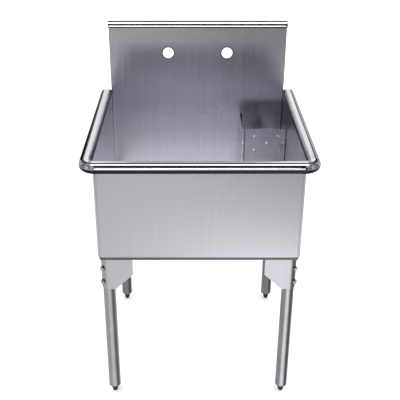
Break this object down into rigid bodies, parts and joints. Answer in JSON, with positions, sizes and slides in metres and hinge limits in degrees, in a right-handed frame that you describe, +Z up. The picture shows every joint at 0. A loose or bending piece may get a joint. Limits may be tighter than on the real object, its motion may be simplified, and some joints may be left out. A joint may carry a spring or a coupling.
{
  "type": "utility laundry sink",
  "caption": "Free-standing stainless laundry sink: deep square bowl with a rolled rim, tall backsplash with tap holes, perforated corner drain guard, and bracketed legs with levelling feet.",
  "frame": {"origin": "on the floor, under the middle of the overall outline", "axes": "+Z up, -Y to the front where a person stands, +X to that person's right"},
  "size_m": [0.6858, 0.6843, 1.1039],
  "materials": {
    "sheet_steel": "brushed with an upright grain, rolled edges polished",
    "tube_steel": "satin",
    "bright_steel": "polished",
    "plated_brass": "plated",
    "black_rubber": "matte",
    "fibre": "pressed fibre",
    "washer_plastic": "matte"
  },
  "bodies": {
    "bowl_and_stand": {"front_wall": "sheet_steel", "right_wall": "sheet_steel", "left_wall": "sheet_steel", "rear_wall_backsplash": "sheet_steel", "bowl_floor": "sheet_steel", "rim_corner_right": "sheet_steel", "rim_corner_left": "sheet_steel", "rim_end_caps": "sheet_steel", "backsplash_end_caps": "sheet_steel", "leg_bracket_front_right": "sheet_steel", "leg_bracket_front_left": "sheet_steel", "leg_bracket_rear_right": "sheet_steel", "leg_bracket_rear_left": "sheet_steel", "leg_tube_front_right": "tube_steel", "leg_tube_front_left": "tube_steel", "leg_tube_rear_right": "tube_steel", "leg_tube_rear_left": "tube_steel", "foot_socket_front_right": "bright_steel", "foot_socket_front_left": "bright_steel", "foot_socket_rear_right": "bright_steel", "foot_socket_rear_left": "bright_steel", "bracket_bolts": "bright_steel", "bracket_washers": "bright_steel", "bracket_nuts": "bright_steel", "drain_body": "bright_steel", "drain_gasket": "black_rubber", "drain_friction_washer": "fibre", "drain_locknut": "plated_brass", "tailpiece": "plated_brass", "tailpiece_washer": "washer_plastic", "slip_nut": "plated_brass"},
    "foot_front_right": {"levelling_foot_front_right": "bright_steel"},
    "foot_front_left": {"levelling_foot_front_left": "bright_steel"},
    "foot_rear_right": {"levelling_foot_rear_right": "bright_steel"},
    "foot_rear_left": {"levelling_foot_rear_left": "bright_steel"},
    "corner_guard": {"corner_guard": "sheet_steel"},
    "standpipe": {"standpipe": "bright_steel", "standpipe_seal": "black_rubber"}
  },
  "joints": [
    {"name": "foot_front_right_height", "type": "slide", "parent": "bowl_and_stand", "child": "foot_front_right", "axis": [0, 0, 1], "range_m": [-0.025, 0]},
    {"name": "foot_front_left_height", "type": "slide", "parent": "bowl_and_stand", "child": "foot_front_left", "axis": [0, 0, 1], "range_m": [-0.025, 0]},
    {"name": "foot_rear_right_height", "type": "slide", "parent": "bowl_and_stand", "child": "foot_rear_right", "axis": [0, 0, 1], "range_m": [-0.025, 0]},
    {"name": "foot_rear_left_height", "type": "slide", "parent": "bowl_and_stand", "child": "foot_rear_left", "axis": [0, 0, 1], "range_m": [-0.025, 0]},
    {"name": "corner_guard_lift", "type": "slide", "parent": "bowl_and_stand", "child": "corner_guard", "axis": [0, 0, 1], "range_m": [0, 0.34]},
    {"name": "standpipe_lift", "type": "slide", "parent": "bowl_and_stand", "child": "standpipe", "axis": [0, 0, 1], "range_m": [0, 0.4]}
  ]
}
